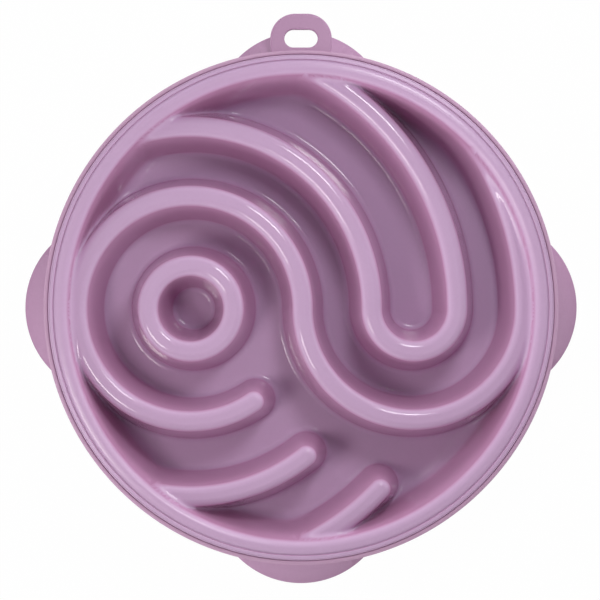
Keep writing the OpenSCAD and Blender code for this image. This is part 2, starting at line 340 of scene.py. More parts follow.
def screen_colour(red: int, green: int, blue: int) -> tuple[float, float, float, float]:
    """A colour as a screen shows it, as the linear light that Blender works with.

    The curve is that of sRGB: a straight piece near black, and a power of 2.4 above it.

    Args:
        red: Red, from 0 to 255.
        green: Green, from 0 to 255.
        blue: Blue, from 0 to 255.

    Returns:
        Linear red, green and blue from 0 to 1, and an opaque alpha.
    """
    shares = np.array([red, green, blue]) / 255.0
    linear = np.where(shares <= 0.04045, shares / 12.92, ((shares + 0.055) / 1.055) ** 2.4)
    return (*linear.tolist(), 1.0)


class NodeSheet:
    """A node tree with short ways to add a node and to feed its inputs."""

    def __init__(self, tree: bpy.types.NodeTree) -> None:
        """Keeps the tree."""
        self.tree = tree

    def add(self, kind: str, inputs: dict[str | int, Feed] | None = None, **settings: object) -> bpy.types.Node:
        """Adds a node.

        Args:
            kind: The node's type without the leading ShaderNode.
            inputs: What feeds its inputs.
            **settings: Properties of the node.

        Returns:
            The node.
        """
        node = self.tree.nodes.new(kind if kind.startswith("Node") else f"ShaderNode{kind}")
        for name, value in settings.items():
            setattr(node, name, value)
        self.feed(node, inputs or {})
        return node

    def feed(self, node: bpy.types.Node, inputs: dict[str | int, Feed]) -> None:
        """Feeds a node's inputs.

        Args:
            node: The node.
            inputs: For each input, by name or number, a constant or the output that feeds it.
        """
        for name, value in inputs.items():
            if isinstance(value, bpy.types.NodeSocket):
                self.tree.links.new(value, node.inputs[name])
            else:
                node.inputs[name].default_value = value

    def math(self, operation: str, first: Feed, second: Feed = 0.0) -> bpy.types.NodeSocket:
        """The result of a sum on two values or outputs."""
        return self.add("Math", {0: first, 1: second}, operation=operation).outputs[0]

    def blend(self, factor: Feed, first: Feed, second: Feed) -> bpy.types.NodeSocket:
        """A colour between two colours."""
        return self.add("Mix", {0: factor, 6: first, 7: second}, data_type="RGBA").outputs[2]

    def spread(self, value: Feed, low: float, high: float, to_low: float, to_high: float) -> bpy.types.NodeSocket:
        """A value carried from one range to another one, and kept inside it."""
        places = {"Value": value, "From Min": low, "From Max": high, "To Min": to_low, "To Max": to_high}
        return self.add("MapRange", places, clamp=True).outputs[0]


class Effect(Enum):
    """The shader groups that more than one finish uses."""

    GRAIN = "moulded_grain"
    RUBS = "handling_rubs"
    TONE = "moulding_tone"


class EffectShelf:
    """Builds each shader group once and hands out its node tree."""

    def __init__(self) -> None:
        """Starts with no group built."""
        self.trees: dict[Effect, bpy.types.NodeTree] = {}

    def get(self, effect: Effect) -> bpy.types.NodeTree:
        """The group's tree, built on first use.

        Args:
            effect: Which group.

        Returns:
            Its node tree.
        """
        if effect not in self.trees:
            makers = {Effect.GRAIN: self.grain, Effect.RUBS: self.rubs, Effect.TONE: self.tone}
            self.trees[effect] = makers[effect](effect.value)
        return self.trees[effect]

    @staticmethod
    def blank(name: str, inputs: dict[str, str], outputs: dict[str, str]) -> tuple[NodeSheet, dict, dict]:
        """A group with named sockets.

        Args:
            name: The group's name.
            inputs: The socket type of each input, without the leading NodeSocket.
            outputs: The same for each output.

        Returns:
            The sheet, the group's inputs by name and the sockets that its outputs are fed by.
        """
        tree = bpy.data.node_groups.new(name, "ShaderNodeTree")
        for side, sockets in (("INPUT", inputs), ("OUTPUT", outputs)):
            for socket, kind in sockets.items():
                tree.interface.new_socket(socket, in_out=side, socket_type=f"NodeSocket{kind}")
        sheet = NodeSheet(tree)
        given, taken = sheet.add("NodeGroupInput"), sheet.add("NodeGroupOutput")
        return sheet, {s.name: s for s in given.outputs if s.name}, {s.name: s for s in taken.inputs if s.name}

    def grain(self, name: str) -> bpy.types.NodeTree:
        """Height of a mould's eroded texture: fine noise, small pits and a slow swell.

        Args:
            name: The group's name.

        Returns:
            Its node tree.
        """
        inputs = {"Vector": "Vector", "Fineness": "Float", "Swell": "Float"}
        sheet, given, taken = self.blank(name, inputs, {"Height": "Float"})
        fine = sheet.add("TexNoise", {"Vector": given["Vector"], "Scale": given["Fineness"], "Detail": 3.0})
        pits = sheet.add("TexVoronoi", {"Vector": given["Vector"], "Scale": given["Fineness"]})
        slow = sheet.add("TexNoise", {"Vector": given["Vector"], "Scale": 38.0, "Detail": 1.0})
        pitted = sheet.math("MULTIPLY", pits.outputs["Distance"], 0.55)
        texture = sheet.math("ADD", fine.outputs["Fac"], pitted)
        swell = sheet.math("MULTIPLY", slow.outputs["Fac"], given["Swell"])
        sheet.tree.links.new(sheet.math("ADD", texture, swell), taken["Height"])
        return sheet.tree

    def rubs(self, name: str) -> bpy.types.NodeTree:
        """Mask of handling: hairlines that run two ways, and soft smears, from 0 to 1.

        Args:
            name: The group's name.

        Returns:
            Its node tree.
        """
        inputs = {"Vector": "Vector", "Hairlines": "Float", "Smears": "Float"}
        sheet, given, taken = self.blank(name, inputs, {"Mask": "Float"})
        lines = []
        for turn, stretch in ((0.6, (30.0, 900.0, 30.0)), (2.2, (700.0, 24.0, 40.0))):
            places = {"Vector": given["Vector"], "Rotation": (0.0, 0.0, turn), "Scale": stretch}
            turned = sheet.add("Mapping", places)
            noise = sheet.add("TexNoise", {"Vector": turned.outputs[0], "Scale": 1.0, "Detail": 1.0})
            lines.append(sheet.spread(noise.outputs["Fac"], 0.66, 0.74, 0.0, 1.0))
        hair = sheet.math("MULTIPLY", sheet.math("MAXIMUM", *lines), given["Hairlines"])
        places = {"Vector": given["Vector"], "Scale": 24.0, "Detail": 4.0, "Roughness": 0.62}
        cloud = sheet.add("TexNoise", places)
        smear = sheet.math("MULTIPLY", sheet.spread(cloud.outputs["Fac"], 0.42, 0.7, 0.0, 1.0), given["Smears"])
        sheet.tree.links.new(sheet.math("MAXIMUM", hair, smear), taken["Mask"])
        return sheet.tree

    def tone(self, name: str) -> bpy.types.NodeTree:
        """The plastic's colour with the slight unevenness of its pigment.

        Args:
            name: The group's name.

        Returns:
            Its node tree.
        """
        inputs = {"Vector": "Vector", "Colour": "Color", "Streak": "Color", "Amount": "Float"}
        sheet, given, taken = self.blank(name, inputs, {"Colour": "Color"})
        broad = sheet.add("TexNoise", {"Vector": given["Vector"], "Scale": 14.0, "Detail": 3.0})
        fine = sheet.add("TexNoise", {"Vector": given["Vector"], "Scale": 620.0, "Detail": 2.0})
        both = sheet.math("ADD", broad.outputs["Fac"], sheet.math("MULTIPLY", fine.outputs["Fac"], 0.5))
        share = sheet.math("MULTIPLY", sheet.spread(both, 0.5, 1.0, 0.0, 1.0), given["Amount"])
        sheet.tree.links.new(sheet.blend(share, given["Colour"], given["Streak"]), taken["Colour"])
        return sheet.tree


@dataclass(frozen=True)
class MouldedFinish:
    """A moulded material: its colour, its gloss, and the size and strength of its detail.

    The gloss is the roughness where it is clean and where it is rubbed. Above a given height in metres
    the piece is rougher by the share there and takes a lighter colour, a painted highlight for the light on its
    top.
    """

    name: str
    colour: Colour
    streak: Colour
    streak_amount: float
    gloss: tuple[float, float]
    hairlines: float
    smears: float
    fineness: float
    swell: float
    depth: float
    specular: float = 0.5
    # Colour of painted shade and pinkish bounce light on steep faces, chosen by the upward part of the normal.
    steep: Colour | None = None
    matt_and_painted_light_above: tuple[float, float] = (1.0, 0.0)
    # Colour of a painted highlight: the top of the piece painted lighter, standing in for the light that falls on
    # it.
    painted_light_top: Colour | None = None

    def material(self, shelf: EffectShelf) -> bpy.types.Material:
        """Builds the material.

        Args:
            shelf: Where the shader groups come from.

        Returns:
            The material, with its roughness between the two gloss values and a bump in metres.
        """
        made = bpy.data.materials.new(self.name)
        made.use_nodes = True
        made.node_tree.nodes.clear()
        sheet = NodeSheet(made.node_tree)
        place = sheet.add("TexCoord").outputs["Object"]
        colours = {"Colour": screen_colour(*self.colour), "Streak": screen_colour(*self.streak)}
        tone, rubs, grain = (
            sheet.add("Group", node_tree=shelf.get(effect)) for effect in (Effect.TONE, Effect.RUBS, Effect.GRAIN)
        )
        for group, values in (
            (tone, {**colours, "Amount": self.streak_amount}),
            (rubs, {"Hairlines": self.hairlines, "Smears": self.smears}),
            (grain, {"Fineness": self.fineness, "Swell": self.swell}),
        ):
            sheet.feed(group, {"Vector": place, **values})
        level, matt = self.matt_and_painted_light_above
        height = sheet.add("SeparateXYZ", {0: place}).outputs["Z"]
        high = sheet.spread(height, level, level + FADE_M, 0.0, 1.0)
        rough = sheet.spread(rubs.outputs["Mask"], 0.0, 1.0, *self.gloss)
        rough = sheet.math("ADD", rough, sheet.math("MULTIPLY", high, matt))
        colour = tone.outputs["Colour"]
        # Painted highlight: the top is painted lighter, as light falls on it.
        if self.painted_light_top is not None:
            colour = sheet.blend(high, colour, screen_colour(*self.painted_light_top))
        bump = sheet.add("Bump", {"Strength": 1.0, "Distance": self.depth, "Height": grain.outputs["Height"]})
        shader = sheet.add(
            "BsdfPrincipled",
            {
                "Base Color": self.with_painted_wall_shade(sheet, colour),
                "Roughness": rough,
                "IOR": 1.46,
                "Specular IOR Level": self.specular,
                "Normal": bump.outputs["Normal"],
            },
        )
        sheet.add("OutputMaterial", {"Surface": shader.outputs["BSDF"]})
        return made

    def with_painted_wall_shade(self, sheet: NodeSheet, colour: bpy.types.NodeSocket) -> bpy.types.NodeSocket:
        """The colour with painted shade and pinkish bounce light where the face is steep.

        Args:
            sheet: The material's nodes.
            colour: The colour of a flat face.

        Returns:
            The colour for the shader.
        """
        if self.steep is None:
            return colour
        # Painted shade: steep faces are painted darker and pinker, standing in for shade and bounce light between
        # the ridges.
        facing = sheet.add("SeparateXYZ", {0: sheet.add("NewGeometry").outputs["Normal"]}).outputs["Z"]
        painted_shade_share = sheet.spread(facing, *PAINTED_SHADE_STEEP_TO_FLAT, 1.0, 0.0)
        return sheet.blend(painted_shade_share, colour, screen_colour(*self.steep))


MAZE_GLOSS = MouldedFinish(
    name="maze_gloss_plastic",
    colour=(199, 166, 200),
    streak=(193, 158, 192),
    streak_amount=0.5,
    gloss=(0.08, 0.16),
    hairlines=0.1,
    smears=0.25,
    fineness=420.0,
    swell=3.0,
    depth=0.000008,
    # Painted shade and pinkish bounce light on the steep walls and ridge sides.
    steep=(196, 146, 182),
    matt_and_painted_light_above=(0.0462, 0.17),
)
BASE_SATIN = MouldedFinish(
    name="base_satin_plastic",
    colour=(171, 130, 164),
    streak=(162, 120, 153),
    streak_amount=0.7,
    gloss=(0.4, 0.5),
    hairlines=0.5,
    smears=0.6,
    fineness=1500.0,
    swell=0.3,
    depth=0.00006,
    specular=0.3,
    matt_and_painted_light_above=(0.0502, 0.0),
    # Painted highlight: the band's top painted lighter, as the light falls on it.
    painted_light_top=(196, 159, 187),
)
PAD_RUBBER = MouldedFinish(
    name="pad_rubber",
    colour=(150, 128, 148),
    streak=(136, 116, 134),
    streak_amount=0.8,
    gloss=(0.66, 0.82),
    hairlines=0.2,
    smears=1.0,
    fineness=1100.0,
    swell=0.4,
    depth=0.00008,
    specular=0.35,
)


@dataclass(frozen=True)
class Arc:
    """A run of ridge: the arc of its middle line round a centre, angles in degrees."""

    x: float
    y: float
    radius: float
    start: float
    end: float

    def place(self, angles: Array, radius: Array | float) -> Array:
        """Points at angles in degrees and radii from the arc's centre, shaped (..., 2)."""
        turn = np.radians(angles)
        return np.stack([self.x + radius * np.cos(turn), self.y + radius * np.sin(turn)], axis=-1)

    def distance(self, points: Array) -> Array:
        """Distance from points in plan to the arc: to its circle beside it, to an end past it.

        Args:
            points: Points in plan, shaped (..., 2).

        Returns:
            Distances, shaped (...).
        """
        across, back = points[..., 0] - self.x, points[..., 1] - self.y
        angle = np.degrees(np.arctan2(back, across)) - self.start
        beside = np.mod(angle, 360.0) <= self.end - self.start
        to_circle = np.abs(np.hypot(across, back) - self.radius)
        ends = self.place(np.array([self.start, self.end]), self.radius)
        to_end = np.minimum(*(np.linalg.norm(points - end, axis=-1) for end in ends))
        return np.where(beside, to_circle, to_end)


@dataclass(frozen=True)
class Ridge:
    """A ridge of the maze: the arcs of its middle line, and whether the first arc ends in a tip."""

    arcs: tuple[Arc, ...]
    tip: bool = False

    def distance(self, points: Array) -> Array:
        """Distance from points in plan to the ridge's middle line."""
        return np.min(np.stack([arc.distance(points) for arc in self.arcs]), axis=0)


@dataclass(frozen=True)
class Detail:
    """How finely a face of the bowl is divided: millimetres along a ridge, and rows across it."""

    station: float
    crown: int
    side: int
    foot: int
    rim: int


TOP_DETAIL = Detail(station=2.1, crown=9, side=5, foot=7, rim=10)
UNDER_DETAIL = Detail(station=2.1, crown=5, side=10, foot=5, rim=6)


@dataclass
class MazeBowl:
    """The glossy bowl: a round pan with a rolled rim and five ridges, all one thin moulding."""

    rim_r: float
    rim_z: float
    land_w: float = 3.2
    land_drop: float = 0.2
    land_round: float = 0.7
    land_edge: float = 0.6
    shoulder_w: float = 7.5
    shoulder_round: float = 4.5
    groove_drop: float = 0.7
    wall_draft: float = 10.5
    floor_z: float = 10.0
    floor_round: float = 6.0
    skin: float = 2.4
    ridge_skin: float = 2.2
    lip_h: float = 7.0
    ridge_drop: float = 7.0
    ridge_w: float = 11.4
    crown_round: float = 4.5
    ridge_draft: float = 11.0
    foot_round: float = 3.5
    join_round: float = 2.5
    maze_right: float = 0.9
    maze_front: float = 0.6
    lobe_r: float = 61.5
    right_lobe_r: float = 60.6
    ring_r: float = 23.4
    ring_right: float = 0.4
    hook_r: float = 99.2
    turn_r: float = 23.3
    run_r: float = 163.0
    left_spur_r: float = 102.4
    front_spur_r: float = 143.2
    s_tip: float = 304.4
    left_spur_tip: float = 308.3
    front_spur_tip: float = 316.5
    lip_round: float = 0.4
    lip_root: float = 1.2
    under_out: float = 1.2
    valley_in: float = 1.4
    slack: float = 0.01
    guard: float = 1.05
    ridges: tuple[Ridge, ...] = field(init=False)

    def __post_init__(self) -> None:
        """Works out the ridges' middle lines, whose arcs join on one line across the bowl."""
        lobe_x, right_x = self.maze_right - self.lobe_r, self.maze_right + self.right_lobe_r
        run_x = right_x + self.right_lobe_r - self.run_r
        turn_x, outer_r = lobe_x + self.hook_r + self.turn_r, self.hook_r + 2.0 * self.turn_r
        self.ridges = (
            Ridge(
                (
                    self.arc(lobe_x, self.lobe_r, 0.0, self.s_tip),
                    self.arc(right_x, self.right_lobe_r, 180.0, 360.0),
                    self.arc(run_x, self.run_r, 0.0, self.wall_angle(run_x, self.run_r)),
                ),
                tip=True,
            ),
            Ridge((self.arc(lobe_x + self.ring_right, self.ring_r, 0.0, 360.0),)),
            Ridge(
                (
                    self.arc(lobe_x, self.hook_r, 0.0, self.wall_angle(lobe_x, self.hook_r)),
                    self.arc(turn_x, self.turn_r, 180.0, 360.0),
                    self.arc(lobe_x, outer_r, 0.0, self.wall_angle(lobe_x, outer_r)),
                )
            ),
            self.spur(lobe_x, self.left_spur_r, self.left_spur_tip),
            self.spur(lobe_x, self.front_spur_r, self.front_spur_tip),
        )

    def arc(self, x: float, radius: float, start: float, end: float) -> Arc:
        """An arc whose centre lies on the maze's line across the bowl."""
        return Arc(x, -self.maze_front, radius, start, end)

    def spur(self, x: float, radius: float, tip: float) -> Ridge:
        """A ridge from the front wall to a round tip."""
        start = 360.0 + self.wall_angle(x, radius, -1.0)
        return Ridge((self.arc(x, radius, start, tip),), tip=True)

    def wall_angle(self, x: float, radius: float, side: float = 1.0) -> float:
        """Angle at which an arc has reached the pan's wall, by the rule of cosines.

        Args:
            x: Where the arc's centre lies on the maze's line.
            radius: The arc's radius.
            side: 1 for the wall behind the maze's line, -1 for the wall before it.

        Returns:
            The angle in degrees.
        """
        reach = self.land_r - self.shoulder_w + self.ridge_w / 2.0
        apart = math.hypot(x, self.maze_front)
        turned = math.acos((apart**2 + radius**2 - reach**2) / (2.0 * apart * radius))
        return math.degrees(math.atan2(self.maze_front, -x) + side * turned)

    @property
    def ridge_z(self) -> float:
        """Height of the ridges' tops."""
        return self.rim_z - self.ridge_drop

    @property
    def core_w(self) -> float:
        """Half the width of a ridge's flat crown."""
        return self.ridge_w / 2.0 - self.crown_round * math.cos(math.radians(self.ridge_draft))

    @property
    def land_r(self) -> float:
        """Radius of the land's inner edge."""
        return self.rim_r - self.land_w

    @property
    def wall_turn(self) -> tuple[float, float]:
        """Radius and height of the centre of the round between the shoulder and the wall."""
        inward = self.shoulder_w - self.shoulder_round * math.cos(math.radians(self.wall_draft))
        return self.land_r - inward, self.rim_z - self.shoulder_round

    def ridge_value(self, distance: Array, height: Array) -> Array:
        """Signed distance to a ridge's section: a wedge less its round.

        Args:
            distance: Distances to its middle line.
            height: Heights of the points.

        Returns:
            Values below zero in the ridge.
        """
        draft = math.radians(self.ridge_draft)
        across, up = distance - self.core_w, height - (self.ridge_z - self.crown_round)
        side = (math.cos(draft), math.sin(draft))
        return wedge(across, up, side, (0.0, 1.0)) - self.crown_round

    def wall_value(self, radius: Array, height: Array) -> Array:
        """Signed distance to the pan's wall and shoulder, which sinks into a groove at the land.

        It is a wedge less its round. The shoulder drops with the fourth power of the share of the
        way from the round's centre to the land.

        Args:
            radius: Distances to the axis.
            height: Heights of the points.

        Returns:
            Values below zero in the plastic.
        """
        draft = math.radians(self.wall_draft)
        turn_r, turn_z = self.wall_turn
        share = np.maximum(radius - turn_r, 0.0) / (self.land_r - turn_r)
        up = height + self.groove_drop * np.minimum(share, 1.2) ** 4 - turn_z
        side = (-math.cos(draft), math.sin(draft))
        return wedge(radius - turn_r, up, side, (0.0, 1.0)) - self.shoulder_round

    def land_value(self, radius: Array, height: Array) -> Array:
        """Signed distance to the raised land on top of the rim: a corner with a rounded edge.

        Args:
            radius: Distances to the axis.
            height: Heights of the points.

        Returns:
            Values below zero in the land.
        """
        across = self.land_r + 2.0 * self.land_edge - radius
        up = height - (self.rim_z - self.land_drop - self.land_edge)
        outside = np.hypot(np.maximum(across, 0.0), np.maximum(up, 0.0))
        return outside + np.minimum(np.maximum(across, up), 0.0) - self.land_edge

    def plan(self, points: Array) -> tuple[Array, list[Array]]:
        """The distances in plan that the surface depends on: to the axis and to each ridge."""
        return np.linalg.norm(points, axis=-1), [ridge.distance(points) for ridge in self.ridges]

    def value(self, plan: tuple[Array, list[Array]], height: Array, land: bool) -> Array:
        """Signed distance to the bowl's upper face: floor, wall, land and ridges, joined by fillets.

        Args:
            plan: Distances to the axis and to each ridge.
            height: Heights of the points.
            land: Whether the raised land on the rim is there.

        Returns:
            Values below zero in the plastic and above zero in the open.
        """
        radius, distances = plan
        solid = round_union(self.wall_value(radius, height), height - self.floor_z, self.floor_round)
        for distance in distances:
            ridge = self.ridge_value(distance, height)
            solid = round_union(solid, ridge, self.join_round)
        if land:
            solid = round_union(solid, self.land_value(radius, height), self.land_edge)
        return solid

    def raised(self, points: Array, land: bool) -> tuple[Array, Array]:
        """Lifts points in plan onto the bowl's upper face.

        The height is found by halving an interval, because the value only grows with height, and
        the normal is the value's slope in three directions.

        Args:
            points: Points in plan, shaped (points, 2).
            land: Whether the raised land on the rim is there.

        Returns:
            Points on the face and unit normals, each shaped (points, 3).
        """
        plan = self.plan(points)
        low = np.full(len(points), self.floor_z - 1.0)
        high = np.full(len(points), self.rim_z + 1.0)
        for _ in range(HALVINGS):
            middle = (low + high) / 2.0
            inside = self.value(plan, middle, land) < 0.0
            low, high = np.where(inside, middle, low), np.where(inside, high, middle)
        height, step = (low + high) / 2.0, 0.01
        slopes = []
        for way in (np.array([step, 0.0]), np.array([0.0, step])):
            ahead = self.value(self.plan(points + way), height, land)
            behind = self.value(self.plan(points - way), height, land)
            slopes.append(ahead - behind)
        slopes.append(self.value(plan, height + step, land) - self.value(plan, height - step, land))
        surface = np.column_stack([points, height])
        return surface, unit(np.stack(slopes, axis=-1))

    def ridge_rows(self, detail: Detail) -> Array:
        """Distances from a ridge's middle line at which its face has rows of points.

        They are even steps over the flat crown, even angles round the crown's edge, even steps
        down the side, and even angles round the fillet at the foot.

        Args:
            detail: How many rows each part has.

        Returns:
            Distances from 0 upwards.
        """
        draft = math.radians(self.ridge_draft)
        core_z = self.ridge_z - self.crown_round
        edge = np.linspace(QUARTER_TURN, draft, detail.crown + 1)
        crown = self.core_w + self.crown_round * np.cos(edge)
        drop = (core_z - self.floor_z - self.foot_round) * math.sin(draft)
        foot_end = self.core_w + (self.crown_round + self.foot_round + drop) / math.cos(draft)
        foot = foot_end - self.foot_round * np.cos(np.linspace(draft, QUARTER_TURN, detail.foot + 1))
        side = np.linspace(crown[-1], foot[0], detail.side + 2)[1:-1]
        return np.concatenate([[0.0, self.core_w / 2.0], crown, side, foot, [foot_end + 1.0]])

    def wall_rows(self, detail: Detail) -> Array:
        """Distances from the bowl's axis at which its shoulder, wall and corner have rows of points.

        Args:
            detail: How many rows each part has.

        Returns:
            Distances, from the shoulder inwards.
        """
        draft = math.radians(self.wall_draft)
        turn_r, turn_z = self.wall_turn
        edge = np.linspace(0.0, QUARTER_TURN - draft, detail.rim)
        turn = turn_r - self.shoulder_round * np.sin(edge)
        centre_z = self.floor_z + self.floor_round
        reach = self.shoulder_round + self.floor_round + (turn_z - centre_z) * math.sin(draft)
        corner_r = turn_r - reach / math.cos(draft)
        round_end = np.linspace(QUARTER_TURN - draft, 0.0, detail.foot)
        corner = corner_r + self.floor_round * np.sin(round_end)
        wall = np.linspace(turn[-1], corner[0], detail.side + 2)[1:-1]
        return np.concatenate([turn, wall, corner, [corner[-1] - 1.5]])

    def land_rows(self) -> Array:
        """Distances from the axis of the rows over the land, its inner step and the groove.

        Returns:
            Distances, from the rim inwards.
        """
        outer, inner = self.rim_r - self.land_round, self.wall_turn[0]
        step_out, step_in = self.land_r + 3.0 * self.land_edge, self.land_r - self.land_edge
        step = np.linspace(step_out, step_in, 9)
        return np.concatenate([np.linspace(outer, step_out, 3)[1:-1], step, np.linspace(step_in, inner, 8)[1:-1]])

    def plan_points(self, detail: Detail) -> Array:
        """Points in plan in rows beside every ridge and round the wall.

        A row's point is kept only where no other ridge, and not the wall, is nearer than its own
        ridge, so that rows stop along the valleys between them.

        Args:
            detail: How finely the rows are divided.

        Returns:
            Points in plan, shaped (points, 2).
        """
        rows = self.ridge_rows(detail)
        match = self.wall_turn[0] - self.shoulder_round + self.ridge_w / 2.0 - self.valley_in
        found = []
        for index, ridge in enumerate(self.ridges):
            for number, arc in enumerate(ridge.arcs):
                sweep = arc.end - arc.start
                count = max(2, round(math.radians(sweep) * arc.radius / detail.station))
                angles = arc.start + sweep * np.arange(count) / count
                signed = np.concatenate([-rows[:0:-1], rows])
                radii = (arc.radius + signed)[:, None]
                points = arc.place(angles[None, :], radii)
                found.append(self.owned(points, np.abs(signed)[:, None], index, match))
                if ridge.tip and number == 0:
                    found.append(self.tip_points(arc, rows, index, match))
        radii = self.wall_rows(detail)
        wall = radii[:, None, None] * compass(round(FULL_TURN * self.rim_r / detail.station))[None]
        nearest = np.min(np.stack([ridge.distance(wall) for ridge in self.ridges]), axis=0)
        found.append(wall[nearest > match - radii[:, None] + VALLEY_MM])
        return np.concatenate(found)

    def owned(self, points: Array, distance: Array, index: int, match: float) -> Array:
        """The points that lie nearer to their own ridge than to the others and to the wall.

        Args:
            points: Points in plan in a ridge's rows.
            distance: Their rows' distances from its middle line.
            index: The ridge's number.
            match: Distance from the axis at which a ridge's row and a wall's row are as high.

        Returns:
            The points kept, shaped (points, 2).
        """
        keep = match - np.linalg.norm(points, axis=-1) > distance + VALLEY_MM
        for other, ridge in enumerate(self.ridges):
            apart = ridge.distance(points)
            keep &= apart > distance + (-self.slack if other == index else VALLEY_MM)
        return points[keep]

    def tip_points(self, arc: Arc, rows: Array, index: int, match: float) -> Array:
        """Points in half circles round the end of a ridge's first arc.

        Args:
            arc: The arc that ends in the tip.
            rows: The ridge's rows, as distances from its middle line.
            index: The ridge's number.
            match: As for owned.

        Returns:
            The points kept, shaped (points, 2).
        """
        centre = arc.place(np.array(arc.end), arc.radius)
        angles = np.radians(arc.end + np.linspace(0.0, 180.0, 19))
        ring = np.stack([np.cos(angles), np.sin(angles)], axis=-1)
        points = centre + rows[1:, None, None] * ring[None]
        return self.owned(points, rows[1:, None] - self.slack, index, match)

    def sheet(self, plan: Array) -> Array:
        """Triangles over points in plan, by Delaunay's rule that no point lies in a circle.

        A ring of guard points outside keeps the sheet's own edge whole; its triangles are left out.

        Args:
            plan: Points in plan, shaped (points, 2).

        Returns:
            Corner numbers, three for each triangle.
        """
        guarded = np.concatenate([plan, self.guard * self.rim_r * compass(96)])
        _, _, faces, origin, _, _ = delaunay_2d_cdt([Vector(p) for p in guarded.tolist()], [], [], 0, 1e-6, True)
        first = np.array([ids[0] for ids in origin])
        corners = first[np.array([face for face in faces if len(face) == 3])]
        return corners[(corners < len(plan)).all(axis=1)]

    def shell(self) -> Shell:
        """The whole moulding: upper face, rolled rim with its lip, and the face underneath.

        The face underneath is the upper one without its land, moved back along its normals.

        Returns:
            The closed shell.
        """
        ring = compass(round(FULL_TURN * self.rim_r / TOP_DETAIL.station))
        lands = (self.land_rows()[:, None, None] * ring).reshape(-1, 2)
        edge = (self.rim_r - self.land_round) * ring
        top_plan = np.concatenate([edge, self.plan_points(TOP_DETAIL), lands])
        top, top_normals = self.raised(top_plan, land=True)
        upper = Shell(top, top_normals, self.sheet(top_plan))
        under_edge = (self.wall_turn[0] + self.under_out) * ring
        under_plan = np.concatenate([under_edge, self.plan_points(UNDER_DETAIL)])
        face, normals = self.raised(under_plan, land=False)
        under = Shell(face - self.ridge_skin * normals, -normals, self.sheet(under_plan)[:, ::-1])
        strip = self.rim_strip(upper.points[0], under.points[0], len(ring))
        return upper.joined(under).joined(strip).welded().outward()

    def rim_strip(self, first: Array, last: Array, count: int) -> Shell:
        """The rounded outer edge and the lip: a profile carried round from face to face.

        Args:
            first: A point on the edge of the upper face.
            last: A point on the edge of the face underneath.
            count: Number of places round the axis.

        Returns:
            The strip, whose edges are those of the two faces.
        """
        lip_in, lip_z = self.rim_r - self.skin, self.rim_z - self.lip_h
        start = (math.hypot(first[0], first[1]), first[2])
        end = (math.hypot(last[0], last[1]), last[2])
        before = (start[0] - 2.0 * self.land_round, start[1])
        corners = np.array(
            [[before, (self.rim_r, start[1]), (self.rim_r, lip_z), (lip_in, lip_z), (lip_in, end[1]), end]]
        )
        radii = np.array([0.0, self.land_round, self.lip_round, self.lip_round, self.lip_root, 0.0])
        steps = 6
        profile, tangents = (found[0, steps + 1 : -steps] for found in rounded_polygon(corners, radii, steps))
        profile[0], profile[-1] = start, end
        return turned_shell(profile, tangents, count)

    def build(self, axis: Vector, shelf: EffectShelf) -> bpy.types.Object:
        """Makes the moulding and its finish, and puts it in the place of its six CAD nodes.

        Args:
            axis: Where the bowl's axis stands in the frame, in metres.
            shelf: Where the shader groups come from.

        Returns:
            The piece.
        """
        piece = to_object(self.shell(), "maze_moulding", axis)
        piece.data.materials.append(MAZE_GLOSS.material(shelf))
        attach(piece, "bowl")
        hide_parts(*(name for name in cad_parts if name.startswith("bowl_")))
        return piece


